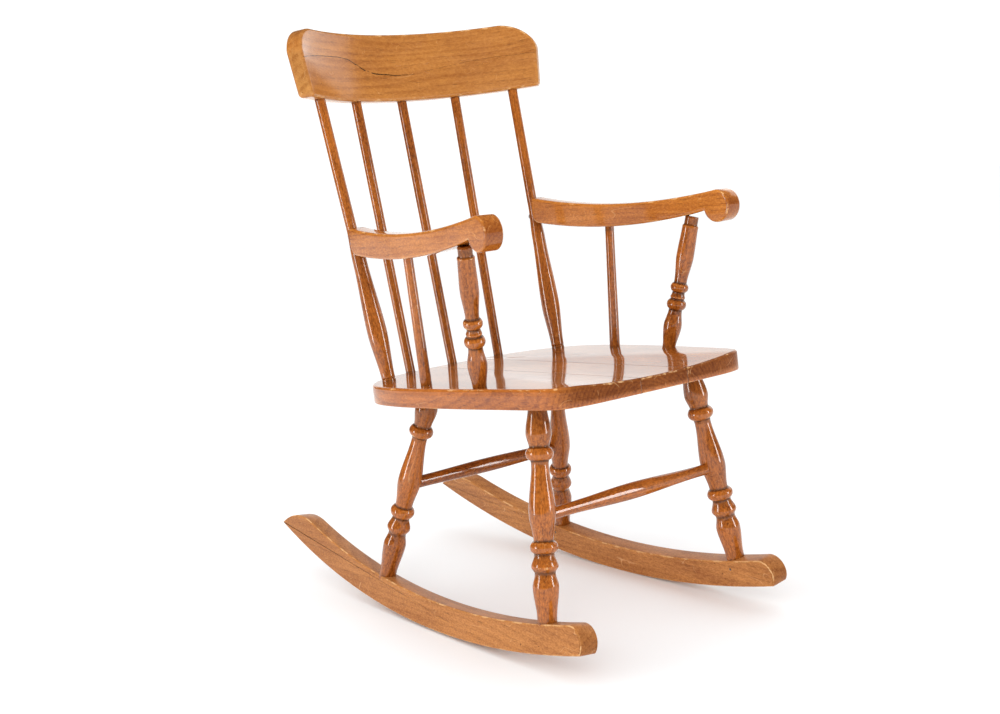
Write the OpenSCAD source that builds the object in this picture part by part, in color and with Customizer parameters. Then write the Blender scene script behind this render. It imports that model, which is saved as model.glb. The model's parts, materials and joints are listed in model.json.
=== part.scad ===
// Child's spindle-back rocking chair with arms, in turned and sawn hardwood.
// Frame: X across the chair, the sitter's left at +X, Y towards the back, Z up.
// The origin lies on the floor, below the middle of the chair's footprint.
// "left" and "right" are the sitter's. The right side mirrors the left, but for the tilt of the arms.

/* [Seat] */
// Height of the seat's top over the point where the runners meet the floor
seat_height = 290; // [280:1:300]
// Thickness of the seat boards
seat_thickness = 22; // [20:1:25]
// Backward slope of the seat, in degrees
seat_slope = 2.3; // [1:0.1:4]
// Depth of the shallow dish at the seat's front edge
dish_depth = 6; // [3:0.5:7]
// Place of the glued joint on the sitter's left, from the centre line
joint_left_x = 36; // [25:1:45]
// Place of the glued joint on the sitter's right, from the centre line
joint_right_x = 30; // [25:1:45]

/* [Runners] */
// Radius of the curve that the chair rocks on
rocker_radius = 1200; // [1150:10:1250]
// Width of a runner, across the chair
runner_width = 23; // [22:0.5:26]
// Lean of the runners towards each other, square to the splayed front legs, in degrees
runner_lean = 8; // [6:0.5:9]
// Distance of a runner's outer lower edge from the centre line
runner_outer_x = 156.5; // [154:0.5:159]
// Reach of the runners in front of the floor contact
runner_front = 285; // [275:1:295]
// Reach of the runners behind the floor contact
runner_back = 393; // [380:1:400]
// Radius of the nose at the front of a runner
front_nose_radius = 18; // [17:0.5:22]
// Radius of the nose at the back of a runner
back_nose_radius = 108; // [90:1:112]

/* [Legs] */
// Distance of a front leg's top from the centre line
front_leg_top_x = 110; // [106:1:114]
// Distance of a front leg's top in front of the floor contact
front_leg_top_y = 201; // [196:1:206]
// Distance of a front leg's foot in front of the floor contact
front_leg_foot_y = 220; // [214:1:226]
// Distance of a back leg's top from the centre line
back_leg_top_x = 97; // [92:1:102]
// Distance of a back leg's top behind the floor contact
back_leg_top_y = 34; // [29:1:39]
// Distance of a back leg's foot behind the floor contact
back_leg_foot_y = 112; // [106:1:118]

/* [Back] */
// Distance of a back post's foot from the centre line
post_foot_x = 130; // [127:1:133]
// Distance of a back post's foot behind the floor contact
post_foot_y = 69; // [66:1:72]
// Distance of a back post's top from the centre line
post_top_x = 144.5; // [142:0.5:147]
// Distance of a back post's top behind the floor contact
post_top_y = 132.5; // [131:0.5:134]
// Diameter of the three back spindles
spindle_diameter = 12.5; // [11:0.1:12.9]
// Height of the crest rail's lower edge at its middle
crest_height = 629; // [620:1:640]
// Height of the crest rail itself
crest_depth = 87.5; // [82:0.5:94]
// Thickness of the crest rail
crest_thickness = 20; // [18:0.5:21]
// Radius of the crest rail's bend at its lower edge
crest_bend_radius = 247; // [245:1:249]

/* [Arms] */
// Thickness of an arm, across the chair
arm_thickness = 22; // [21:0.5:24]
// Tilt of the left arm about its front post, in degrees, with its rear end up
arm_tilt_left = 1.3; // [0:0.1:1.6]
// Tilt of the right arm about its front post, in degrees, with its rear end down
arm_tilt_right = -1.3; // [-1.6:0.1:0]

/* [Hidden] */
$fn = 64;

// Colours
board_colour = "#b5773a";
turned_colour = "#a5612c";
dark_colour = "#8e4f22";
steel_colour = "#8d8f92";

// Fit of a glued tenon in its socket, across the diameter
glue_gap = 0.1;
// How much deeper a socket is than the tenon in it
socket_spare = 1;

// Turns children that stand on the origin along Z so that they run from one point to another.
module along(from, to) {
    v = to - from;
    translate(from) rotate([0, acos(v[2] / norm(v)), atan2(v[1], v[0])]) children();
}

module both_sides() {
    children();
    mirror([1, 0, 0]) children();
}

// ---- Turned work ----
// A turning is a list of stations [distance, diameter, bead]. The outline runs to each station
// from the one before as a smooth curve, or as a half-round bead of the third number's diameter.
function smooth_step(t) = t * t * (3 - 2 * t);
function curve_part(a, b, n) = [for (i = [1 : n]) let (t = i / n)
    [(a[1] + (b[1] - a[1]) * smooth_step(t)) / 2, a[0] + (b[0] - a[0]) * t]];
function bead_part(a, b, n) =
    [for (i = [1 : n]) let (t = i / n, base = a[1] + (b[1] - a[1]) * t, swell = sin(180 * t))
        [(base + (b[2] - base) * pow(swell, 0.6)) / 2, a[0] + (b[0] - a[0]) * t]];
function outline_of(stations) = [
    [stations[0][1] / 2, stations[0][0]],
    for (i = [1 : len(stations) - 1])
        each (is_undef(stations[i][2]) ? curve_part(stations[i - 1], stations[i], 5)
                                       : bead_part(stations[i - 1], stations[i], 8))];

module turning(stations, extra = 0) {
    last = len(stations) - 1;
    points = [for (p = outline_of(stations)) [p[0] + extra, p[1]]];
    rotate_extrude($fn = 64)
        polygon(concat([[0, stations[0][0]]], points, [[0, stations[last][0]]]));
}

// ---- Runner curves and the place of rest ----
// The sawn top of a runner is an arc that leaves it 33 mm high in front and 40 mm high behind
top_arc_radius = 1160;
top_arc_y = -15;
top_arc_z = 1194.6;

function runner_tip(y) = [y, rocker_radius - sqrt(pow(rocker_radius, 2) - pow(y, 2))];
front_tip = runner_tip(-runner_front);
back_tip = runner_tip(runner_back);
front_nose = nose_centre(front_tip, front_nose_radius);

// The chair is built level, and comes to rest rocked forward by this angle about its rockers' centre
rest_tilt = 0.5;
// The runners lean, so their inner lower edges stand this far below the outer ones, and meet the floor
floor_drop = runner_width * sin(runner_lean);
function y_at_rest(p) =
    p[0] * cos(rest_tilt) + (rocker_radius - p[1] * cos(runner_lean)) * sin(rest_tilt);
// How far behind the floor contact the middle of the footprint is
front_extreme = y_at_rest(front_nose) - front_nose_radius;
contact_to_middle = (front_extreme + y_at_rest(back_tip)) / 2;

module at_rest() {
    translate([0, -contact_to_middle, rocker_radius + floor_drop]) rotate([rest_tilt, 0, 0])
        translate([0, 0, -rocker_radius]) children();
}

// ---- Positions ----
function seat_z(y) = seat_height - y * tan(seat_slope);

// A runner is drawn upright, with its outer face at x = 0, and leans about its outer lower edge.
function lean_runner(p) = [
    runner_outer_x + p[0] * cos(runner_lean) - p[2] * sin(runner_lean),
    p[1],
    p[0] * sin(runner_lean) + p[2] * cos(runner_lean)];
function unlean_runner(p) = [
    (p[0] - runner_outer_x) * cos(runner_lean) + p[2] * sin(runner_lean),
    p[1],
    p[2] * cos(runner_lean) - (p[0] - runner_outer_x) * sin(runner_lean)];
function runner_top_z(y) = top_arc_z - sqrt(pow(top_arc_radius, 2) - pow(y - top_arc_y, 2));
function on_runner_top(y) = lean_runner([-foot_inset, y, runner_top_z(y)]);

// Distance of a leg's axis from the runner's outer face
foot_inset = 10.5;
leg_tenon = 13;
front_leg_top = [front_leg_top_x, -front_leg_top_y, seat_z(-front_leg_top_y) - seat_thickness];
front_leg_foot = on_runner_top(-front_leg_foot_y);
back_leg_top = [back_leg_top_x, back_leg_top_y, seat_z(back_leg_top_y) - seat_thickness];
back_leg_foot = on_runner_top(back_leg_foot_y);
front_leg_length = norm(front_leg_foot - front_leg_top);
back_leg_length = norm(back_leg_foot - back_leg_top);

// Where the stretchers cross the legs, as a part of the leg's length from its top
front_stretcher_at = 0.512;
back_stretcher_at = 0.485;
front_stretcher_end = front_leg_top + (front_leg_foot - front_leg_top) * front_stretcher_at;
back_stretcher_end = back_leg_top + (back_leg_foot - back_leg_top) * back_stretcher_at;

seat_tenon = 14;
crest_lean = 4.1;
crest_y = 181;
post_foot = [post_foot_x, post_foot_y, seat_z(post_foot_y)];
post_top = [post_top_x, post_top_y, crest_height + (crest_y - post_top_y) * tan(crest_lean)];
side_spindle_foot = [68.5, 120.5, seat_z(120.5)];
side_spindle_top = [75, 168, crest_height + (crest_y - 168) * tan(crest_lean)];
middle_spindle_foot = [0, 128, seat_z(128)];
middle_spindle_top = [0, 181, crest_height];
crest_tenon = 16;

arm_post_foot = [137.5, -138, seat_z(-138)];
arm_post_top = [160, -172, 445];
arm_spindle_foot = [141, -34.5, seat_z(-34.5)];
arm_spindle_top = [148, -37, 440];
arm_tenon = 13;

// ---- Runners ----
module runner_section_block(from_y, to_y) {
    translate([-50, from_y, -50]) cube([100, to_y - from_y, 250]);
}

// Where two circles meet, on the left (side 1) or the right (side -1) of the line between their centres
function circles_meet(centre_a, radius_a, centre_b, radius_b, side) =
    let (gap = norm(centre_b - centre_a), u = (centre_b - centre_a) / gap,
         part = (gap * gap + radius_a * radius_a - radius_b * radius_b) / (2 * gap),
         offset = sqrt(radius_a * radius_a - part * part))
    centre_a + u * part + [-u[1], u[0]] * offset * side;

// A nose is a disc that touches the top arc from below and meets the rocking curve at the tip.
function nose_centre(tip, radius) =
    circles_meet([top_arc_y, top_arc_z], top_arc_radius + radius, tip, radius, -sign(tip[0]));

// Where along the chair a nose's curve leaves the top arc
function nose_start(centre, radius) =
    top_arc_y + (centre[0] - top_arc_y) * top_arc_radius / (top_arc_radius + radius);

module nose(tip, radius) {
    centre = nose_centre(tip, radius);
    translate([-50, centre[0], centre[1]]) rotate([0, 90, 0])
        cylinder(r = radius, h = 100, $fn = 120);
}

module runner_place() {
    translate([runner_outer_x, 0, 0]) rotate([0, -runner_lean, 0]) children();
}

module runner_bar(width) {
    front_cut = nose_start(front_nose, front_nose_radius);
    back_cut = nose_start(nose_centre(back_tip, back_nose_radius), back_nose_radius);
    intersection() {
        difference() {
            translate([-width / 2, 0, rocker_radius]) rotate([0, 90, 0])
                cylinder(r = rocker_radius, h = width, $fn = 720);
            translate([-width, top_arc_y, top_arc_z]) rotate([0, 90, 0])
                cylinder(r = top_arc_radius, h = width * 2, $fn = 720);
        }
        union() {
            runner_section_block(front_cut, back_cut);
            nose(front_tip, front_nose_radius);
            nose(back_tip, back_nose_radius);
        }
    }
}

foot_tenon_diameter = 12;
foot_tenon = 20;
pin_diameter = 2;
pin_length = 20;
pin_depth = 10;

module foot_socket(top, foot, extra) {
    axis = (foot - top) / norm(foot - top);
    along(foot - axis * 10, foot + axis * (foot_tenon + extra))
        cylinder(d = foot_tenon_diameter + (extra > 0 ? glue_gap : 0), h = foot_tenon + 10 + extra);
}

// A pin runs from the inner face of the runner through the leg's tenon.
module runner_pin(top, foot, clearance) {
    middle = unlean_runner(foot + (foot - top) / norm(foot - top) * pin_depth);
    runner_place() translate([-runner_width, middle[1], middle[2]]) rotate([0, 90, 0])
        cylinder(d = pin_diameter + clearance, h = pin_length - 1 + clearance, $fn = 24);
}

module runner() {
    color(board_colour) difference() {
        runner_place() translate([-runner_width / 2, 0, 0]) runner_bar(runner_width);
        foot_socket(front_leg_top, front_leg_foot, socket_spare);
        foot_socket(back_leg_top, back_leg_foot, socket_spare);
        runner_pin(front_leg_top, front_leg_foot, glue_gap);
        runner_pin(back_leg_top, back_leg_foot, glue_gap);
    }
}

module runner_pins() {
    color(steel_colour) both_sides() {
        runner_pin(front_leg_top, front_leg_foot, 0);
        runner_pin(back_leg_top, back_leg_foot, 0);
    }
}

// ---- Legs ----
// Stations run from the seat's underside to the runner. The body carries on past the runner's top,
// where it is coped to the arc.
function leg_stations(length, vase, ring, stretch) = [
    [-leg_tenon, 20],
    [0, 20],
    [vase, 27.6],
    [ring - 7.5, 21.5],
    [ring + 6, 20, 30],
    [ring + 9.5, 18.8],
    [ring + 60.5 * stretch, 28.8],
    [ring + 89.5 * stretch, 21.4],
    [ring + 90.5 * stretch, 21.4],
    [ring + 103 * stretch, 21.4, 30],
    [ring + 104.5 * stretch, 21.4],
    [ring + 117 * stretch, 29],
    [ring + 124 * stretch, 22],
    [ring + 138 * stretch, 27.9],
    [length - 4, 21],
    [length + 5, 21]];

front_leg_stations = leg_stations(front_leg_length, 29.8, 51.8, 1);
back_leg_stations = leg_stations(back_leg_length, 18, 47.3, 1.11);

module leg(top, foot, stations, stretcher_end, stretcher_diameter) {
    color(turned_colour) difference() {
        union() {
            difference() {
                along(top, foot) turning(stations);
                runner_place() translate([-runner_width / 2, 0, 0]) runner_bar(runner_width * 3);
            }
            foot_socket(top, foot, 0);
        }
        translate([stretcher_end[0] - 1.5, stretcher_end[1], stretcher_end[2]]) rotate([0, -90, 0])
            cylinder(d = stretcher_diameter + glue_gap, h = 40);
        runner_pin(top, foot, glue_gap);
    }
}

// ---- Stretchers ----
front_stretcher_diameter = 12.6;
back_stretcher_diameter = 15;

module stretcher(end, end_diameter, middle_diameter) {
    half = end[0] - 2.5;
    stations = [[-half, end_diameter], [22 - half, end_diameter], [0, middle_diameter],
        [half - 22, end_diameter], [half, end_diameter]];
    color(turned_colour) translate([0, end[1], end[2]]) rotate([0, 90, 0]) turning(stations);
}

// ---- Seat ----
// Half of the outline, from the middle of the front edge round the sitter's left to the middle of the back
seat_half_outline = [[0, -276], [60, -275.5], [101, -273], [125, -263], [136, -240], [145.5, -185],
    [155.5, -120], [163.5, -50], [166, 0], [162, 46], [149, 78], [127, 103], [97, 120], [58, 131], [0, 135]];

function mirrored(points) =
    concat(points, [for (i = [len(points) - 2 : -1 : 1]) [-points[i][0], points[i][1]]]);
function spline_point(p0, p1, p2, p3, t) =
    0.5 * (2 * p1 + (p2 - p0) * t + (2 * p0 - 5 * p1 + 4 * p2 - p3) * t * t
           + (3 * p1 - p0 - 3 * p2 + p3) * t * t * t);
function closed_spline(p, n) = let (c = len(p)) [
    for (i = [0 : c - 1], k = [0 : n - 1])
        spline_point(p[(i + c - 1) % c], p[i], p[(i + 1) % c], p[(i + 2) % c], k / n)];

// The dish is part of a wide cylinder that dips towards the front edge and runs out behind.
dish_half_width = 108;
dish_back_y = 70;
dish_radius = (pow(dish_half_width, 2) + pow(dish_depth, 2)) / (2 * dish_depth);
dish_slope = atan(dish_depth / (276 + dish_back_y));

module dish() {
    translate([0, dish_back_y, dish_radius]) rotate([90 + dish_slope, 0, 0]) translate([0, 0, -60])
        cylinder(r = dish_radius, h = 520, $fn = 720);
}

module seat_blank() {
    translate([0, 0, seat_height]) rotate([-seat_slope, 0, 0]) difference() {
        translate([0, 0, -seat_thickness]) linear_extrude(seat_thickness)
            polygon(closed_spline(mirrored(seat_half_outline), 4));
        dish();
    }
}

module seat_socket(foot, top, diameter) {
    axis = (top - foot) / norm(top - foot);
    along(foot - axis * (seat_tenon + socket_spare), foot)
        cylinder(d = diameter + glue_gap, h = seat_tenon + socket_spare + 10);
}

module leg_socket(top, foot) {
    axis = (foot - top) / norm(foot - top);
    along(top - axis * (leg_tenon + socket_spare), top)
        cylinder(d = 20 + glue_gap, h = leg_tenon + socket_spare + 10);
}

dowel_diameter = 8;
dowel_length = 32;
dowel_ys = [-215, -75, 65];

module dowels(clearance) {
    for (x = [-joint_right_x, joint_left_x], y = dowel_ys)
        translate([x - dowel_length / 2 - clearance, y, seat_z(y) - seat_thickness / 2 - 1])
            rotate([0, 90, 0]) cylinder(d = dowel_diameter + clearance, h = dowel_length + 2 * clearance);
}

module seat_board(from_x, to_x) {
    color(board_colour) difference() {
        intersection() {
            seat_blank();
            translate([from_x, -400, 200]) cube([to_x - from_x, 700, 200]);
        }
        dowels(glue_gap);
        both_sides() {
            leg_socket(front_leg_top, front_leg_foot);
            leg_socket(back_leg_top, back_leg_foot);
            seat_socket(post_foot, post_top, post_stations[0][1]);
            seat_socket(side_spindle_foot, side_spindle_top, spindle_diameter);
            seat_socket(arm_post_foot, arm_post_top, arm_post_stations[0][1]);
            seat_socket(arm_spindle_foot, arm_spindle_top, arm_spindle_stations[0][1]);
        }
        seat_socket(middle_spindle_foot, middle_spindle_top, spindle_diameter);
    }
}

module seat_dowels() {
    color(dark_colour) dowels(0);
}

// ---- Back posts and spindles ----
post_length = norm(post_top - post_foot);
post_end_diameter = 12.8;
post_stations = [[-seat_tenon, 16.6], [3, 16.6], [4, 15.8], [5, 16.8], [61.5, 24.2], [150, 17.4],
    [190, 13.3], [post_length, post_end_diameter], [post_length + crest_tenon, post_end_diameter]];

module back_post() {
    color(turned_colour) difference() {
        along(post_foot, post_top) turning(post_stations);
        arm_screw(glue_gap);
        crest_pin(glue_gap);
    }
}

module spindle(foot, top) {
    length = norm(top - foot);
    color(turned_colour) along(foot, top) translate([0, 0, -seat_tenon])
        cylinder(d = spindle_diameter, h = length + seat_tenon + crest_tenon);
}

// ---- Crest rail ----
// It is made upright, with the centre of its bend on the Z axis, and then leaned and moved to the posts.
crest_half_angle = 44.8;
crest_flare = 3.2;
// The bend opens upwards like a cone, by this angle
crest_cone = 6.2;
crest_growth = tan(crest_cone);
crest_corner_radius = 60;
// The corner's curve starts this far above the top edge, and so crosses it at a clear angle
crest_corner_lift = 0.3;

module crest_place() {
    translate([0, crest_y, crest_height]) rotate([-crest_lean, 0, 0])
        translate([0, -crest_bend_radius, 0]) children();
}

module crest_end_trim() {
    rotate([0, 0, -crest_half_angle]) rotate([0, crest_flare, 0])
        translate([0, 0, -50]) cube([200, 400, 300]);
}

module crest_corner_trim() {
    corner_angle = crest_half_angle + crest_flare / 2 - asin(crest_corner_radius / crest_bend_radius);
    centre_z = crest_depth - crest_corner_radius + crest_corner_lift;
    rotate([0, 0, -corner_angle]) translate([0, 150, centre_z]) difference() {
        cube([crest_corner_radius * 2, 150, crest_corner_radius * 2]);
        rotate([-90, 0, 0]) cylinder(r = crest_corner_radius, h = 400, center = true, $fn = 180);
    }
}

module crest_cone_body(radius, from_z, to_z) {
    translate([0, 0, from_z])
        cylinder(r1 = radius + from_z * crest_growth, r2 = radius + to_z * crest_growth, h = to_z - from_z,
            $fn = 360);
}

module crest_board() {
    difference() {
        crest_cone_body(crest_bend_radius + crest_thickness / 2, 0, crest_depth);
        crest_cone_body(crest_bend_radius - crest_thickness / 2, -1, crest_depth + 1);
        translate([-400, -400, -1]) cube([800, 500, crest_depth + 2]);
        both_sides() {
            crest_end_trim();
            crest_corner_trim();
        }
    }
}

module crest_socket(foot, top, diameter) {
    axis = (top - foot) / norm(top - foot);
    along(top - axis * 10, top)
        cylinder(d = diameter + glue_gap, h = 10 + crest_tenon + socket_spare);
}

crest_pin_length = 15;

// A pin runs from the rail's back face through the tenon of the end post.
module crest_pin(clearance) {
    axis = (post_top - post_foot) / norm(post_top - post_foot);
    middle = post_top + axis * (crest_tenon / 2);
    turn = asin(post_top_x / crest_bend_radius);
    translate(middle) rotate([crest_lean, 0, -turn]) rotate([90, 0, 0]) translate([0, 0, -9.5])
        cylinder(d = pin_diameter + clearance, h = crest_pin_length + clearance, $fn = 24);
}

module crest_rail() {
    color(board_colour) difference() {
        crest_place() crest_board();
        both_sides() {
            crest_socket(post_foot, post_top, post_end_diameter);
            crest_socket(side_spindle_foot, side_spindle_top, spindle_diameter);
            crest_pin(glue_gap);
        }
        crest_socket(middle_spindle_foot, middle_spindle_top, spindle_diameter);
    }
}

module crest_pins() {
    color(steel_colour) both_sides() crest_pin(0);
}

// ---- Arms ----
arm_post_length = norm(arm_post_top - arm_post_foot);
arm_post_stations = [[-seat_tenon, 15.5], [0, 15.5], [26.7, 21.8], [46.4, 15.9], [47.5, 16.5],
    [59, 16.5, 23.3], [60.5, 16.4], [63.5, 16.4, 17.6], [67, 14.7], [68.5, 15],
    [79, 15, 21.5], [80.5, 15.2], [112, 20.8], [arm_post_length - 8, 18.9], [arm_post_length - 6, 15.8],
    [arm_post_length + arm_tenon, 15.8]];
arm_spindle_length = norm(arm_spindle_top - arm_spindle_foot);
arm_spindle_stations = [[-seat_tenon, 13], [0, 13], [arm_spindle_length, 11.2],
    [arm_spindle_length + arm_tenon, 11.2]];

// An arm lies in an upright plane through the tops of its post and spindle. Its shape is drawn with u
// forwards from the spindle and z up, and then set in that plane and tilted about the post's top.
arm_run = arm_post_top - arm_spindle_top;
arm_yaw = atan2(arm_run[1], arm_run[0]);
post_u = norm([arm_run[0], arm_run[1]]);
arm_low_z = 440.5;
arm_low_radius = 930;
arm_high_z = 468;
arm_high_radius = 1030;
arm_high_u = 35;
arm_back_u = -131.5;
knob_u = 181.5;
knob_z = 460;
knob_radius = 18.5;
arm_corner_radius = 14;

module arm_disc(u, z, radius, thickness, sides) {
    translate([u, 0, z]) rotate([90, 0, 0])
        cylinder(r = radius, h = thickness, center = true, $fn = sides);
}

module arm_plate() {
    corner_u = arm_back_u + arm_corner_radius;
    corner_z = arm_low_z + arm_corner_radius + pow(corner_u, 2) / (2 * arm_low_radius);
    difference() {
        intersection() {
            difference() {
                arm_disc(0, arm_low_z + arm_low_radius, arm_low_radius, arm_thickness, 720);
                arm_disc(arm_high_u, arm_high_z + arm_high_radius, arm_high_radius, 2 * arm_thickness, 720);
            }
            translate([arm_back_u, -50, 400]) cube([knob_u - arm_back_u, 100, 100]);
        }
        translate([corner_u - 40, -50, corner_z - 40]) difference() {
            cube([40, 100, 40]);
            translate([40, -1, 40]) rotate([-90, 0, 0]) cylinder(r = arm_corner_radius, h = 102);
        }
    }
    arm_disc(knob_u, knob_z, knob_radius, arm_thickness, 96);
}

module arm_place(tilt) {
    translate([arm_spindle_top[0], arm_spindle_top[1], 0]) rotate([0, 0, arm_yaw])
        translate([post_u, 0, arm_post_top[2]]) rotate([0, tilt, 0])
            translate([-post_u, 0, -arm_post_top[2]]) children();
}

module arm_socket(foot, top, diameter) {
    axis = (top - foot) / norm(top - foot);
    along(top - axis * 30, top)
        cylinder(d = diameter + glue_gap, h = 30 + arm_tenon + socket_spare);
}

screw_z = 463;
screw_length = 38;
screw_diameter = 3.6;
screw_head_diameter = 7;

// A countersunk screw runs from behind the back post into the end of the arm.
module arm_screw(clearance) {
    t = (screw_z - post_foot[2]) / (post_top[2] - post_foot[2]);
    middle = post_foot + (post_top - post_foot) * t;
    translate(middle) rotate([0, 0, arm_yaw]) rotate([0, 90, 0]) translate([0, 0, -7.5]) {
        cylinder(d = screw_diameter + clearance, h = screw_length + clearance, $fn = 32);
        cylinder(d1 = screw_head_diameter + clearance, d2 = screw_diameter + clearance,
            h = 3 + clearance / 2, $fn = 32);
        if (clearance > 0)
            translate([0, 0, -5]) cylinder(d = screw_head_diameter + clearance, h = 5.01, $fn = 32);
    }
}

module arm(tilt) {
    color(board_colour) difference() {
        arm_place(tilt) arm_plate();
        along(post_foot, post_top) turning(post_stations, glue_gap / 2);
        arm_socket(arm_post_foot, arm_post_top, 15.8);
        arm_socket(arm_spindle_foot, arm_spindle_top, 11.2);
        arm_screw(glue_gap);
    }
}

module arm_screws() {
    color(steel_colour) both_sides() arm_screw(0);
}

module arm_post() {
    color(turned_colour) along(arm_post_foot, arm_post_top) turning(arm_post_stations);
}

module arm_spindle() {
    color(turned_colour) along(arm_spindle_foot, arm_spindle_top) turning(arm_spindle_stations);
}

module front_leg() {
    leg(front_leg_top, front_leg_foot, front_leg_stations, front_stretcher_end, front_stretcher_diameter);
}

module back_leg() {
    leg(back_leg_top, back_leg_foot, back_leg_stations, back_stretcher_end, back_stretcher_diameter);
}

module right_side() {
    mirror([1, 0, 0]) children();
}

at_rest() crest_rail();
at_rest() back_post();  // back_post_left
at_rest() right_side() back_post();  // back_post_right
at_rest() spindle(side_spindle_foot, side_spindle_top);  // back_spindle_left
at_rest() spindle(middle_spindle_foot, middle_spindle_top);  // back_spindle_middle
at_rest() right_side() spindle(side_spindle_foot, side_spindle_top);  // back_spindle_right
at_rest() arm(arm_tilt_left);  // arm_left
at_rest() right_side() arm(arm_tilt_right);  // arm_right
at_rest() arm_post();  // arm_post_left
at_rest() right_side() arm_post();  // arm_post_right
at_rest() arm_spindle();  // arm_spindle_left
at_rest() right_side() arm_spindle();  // arm_spindle_right
at_rest() seat_board(joint_left_x, 400);  // seat_board_left
at_rest() seat_board(-joint_right_x, joint_left_x);  // seat_board_middle
at_rest() seat_board(-400, -joint_right_x);  // seat_board_right
at_rest() front_leg();  // front_leg_left
at_rest() right_side() front_leg();  // front_leg_right
at_rest() back_leg();  // back_leg_left
at_rest() right_side() back_leg();  // back_leg_right
at_rest() stretcher(front_stretcher_end, front_stretcher_diameter, 18.5);  // front_stretcher
at_rest() stretcher(back_stretcher_end, back_stretcher_diameter, 18);  // back_stretcher
at_rest() runner();  // runner_left
at_rest() right_side() runner();  // runner_right
at_rest() seat_dowels();
at_rest() arm_screws();
at_rest() crest_pins();
at_rest() runner_pins();
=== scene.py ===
import json
import math

import bmesh
import bpy
import numpy as np
from mathutils import Matrix, Vector

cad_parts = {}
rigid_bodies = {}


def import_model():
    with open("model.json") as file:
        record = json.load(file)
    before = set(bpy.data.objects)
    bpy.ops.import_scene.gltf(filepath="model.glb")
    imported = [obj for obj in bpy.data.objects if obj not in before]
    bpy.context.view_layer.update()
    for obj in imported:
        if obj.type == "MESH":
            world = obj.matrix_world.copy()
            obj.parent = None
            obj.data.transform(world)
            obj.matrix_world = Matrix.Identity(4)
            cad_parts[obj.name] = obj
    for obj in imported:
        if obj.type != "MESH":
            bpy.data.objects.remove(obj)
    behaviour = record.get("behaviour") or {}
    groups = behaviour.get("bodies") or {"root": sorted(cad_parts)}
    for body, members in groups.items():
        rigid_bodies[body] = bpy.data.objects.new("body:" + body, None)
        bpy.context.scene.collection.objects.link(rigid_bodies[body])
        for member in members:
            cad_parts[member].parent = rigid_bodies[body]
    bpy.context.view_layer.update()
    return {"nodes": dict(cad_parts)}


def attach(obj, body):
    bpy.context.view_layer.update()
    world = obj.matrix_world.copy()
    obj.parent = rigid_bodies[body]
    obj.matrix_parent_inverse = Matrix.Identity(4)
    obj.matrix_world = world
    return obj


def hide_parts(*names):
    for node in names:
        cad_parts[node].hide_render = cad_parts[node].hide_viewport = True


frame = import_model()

# The looks of a child's rocking chair. Each CAD node gets a finer piece of the same size. Pieces are worked
# out in the design's frame (millimetres, the floor contact at y = 0, upright and level) and then set at rest
# on the floor.
MM = 0.001

# ---- Driving dimensions of the design, in millimetres and degrees ----
SEAT_HEIGHT, SEAT_THICKNESS, SEAT_SLOPE = 290.0, 22.0, 2.3
DISH_DEPTH, DISH_HALF_WIDTH, DISH_BACK = 6.0, 108.0, 70.0
JOINT_LEFT, JOINT_RIGHT = 36.0, -30.0
ROCKER_RADIUS, RUNNER_WIDTH, RUNNER_LEAN, RUNNER_OUTER = 1200.0, 23.0, 8.0, 156.5
RUNNER_FRONT, RUNNER_BACK, FRONT_NOSE, BACK_NOSE = 285.0, 393.0, 18.0, 108.0
TOP_ARC_RADIUS, TOP_ARC_Y, TOP_ARC_Z = 1160.0, -15.0, 1194.6
REST_TILT = 0.5
FOOT_INSET = 10.5
CREST_HEIGHT, CREST_DEPTH, CREST_THICKNESS, CREST_BEND = 629.0, 87.5, 20.0, 247.0
CREST_HALF_ANGLE, CREST_FLARE, CREST_CONE, CREST_CORNER, CREST_CORNER_LIFT = 44.8, 3.2, 6.2, 60.0, 0.3
CREST_LEAN, CREST_Y = 4.1, 181.0
ARM_THICKNESS = 22.0
ARM_TILT = {1: 1.3, -1: -1.3}
SPINDLE_DIAMETER = 12.5
# How far a turned part is carried on inside the piece that it is glued into
HIDDEN_END = 5.0


def sin(a):
    return math.sin(math.radians(a))


def cos(a):
    return math.cos(math.radians(a))


def tan(a):
    return math.tan(math.radians(a))


def vec(*numbers):
    return np.array(numbers, float)


def rotated(points, axis, angle):
    """Points turned about one of the frame's axes, as the design's rotations turn them."""
    turn = np.array(Matrix.Rotation(math.radians(angle), 3, axis))
    return np.asarray(points, float) @ turn.T


# ---- The place of rest ----
def runner_tip(y):
    return vec(y, ROCKER_RADIUS - math.sqrt(ROCKER_RADIUS**2 - y**2))


def circles_meet(centre_a, radius_a, centre_b, radius_b, side):
    """Where two circles meet, on one side of the line between their centres."""
    gap = np.linalg.norm(centre_b - centre_a)
    u = (centre_b - centre_a) / gap
    part = (gap**2 + radius_a**2 - radius_b**2) / (2 * gap)
    away = math.sqrt(radius_a**2 - part**2)
    return centre_a + u * part + vec(-u[1], u[0]) * away * side


def nose_centre(tip, radius):
    return circles_meet(vec(TOP_ARC_Y, TOP_ARC_Z), TOP_ARC_RADIUS + radius, tip, radius, -np.sign(tip[0]))


FRONT_TIP, BACK_TIP = runner_tip(-RUNNER_FRONT), runner_tip(RUNNER_BACK)
FRONT_CENTRE, BACK_CENTRE = nose_centre(FRONT_TIP, FRONT_NOSE), nose_centre(BACK_TIP, BACK_NOSE)
FLOOR_DROP = RUNNER_WIDTH * sin(RUNNER_LEAN)


def y_at_rest(p):
    return p[0] * cos(REST_TILT) + (ROCKER_RADIUS - p[1] * cos(RUNNER_LEAN)) * sin(REST_TILT)


CONTACT_TO_MIDDLE = (y_at_rest(FRONT_CENTRE) - FRONT_NOSE + y_at_rest(BACK_TIP)) / 2


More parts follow.
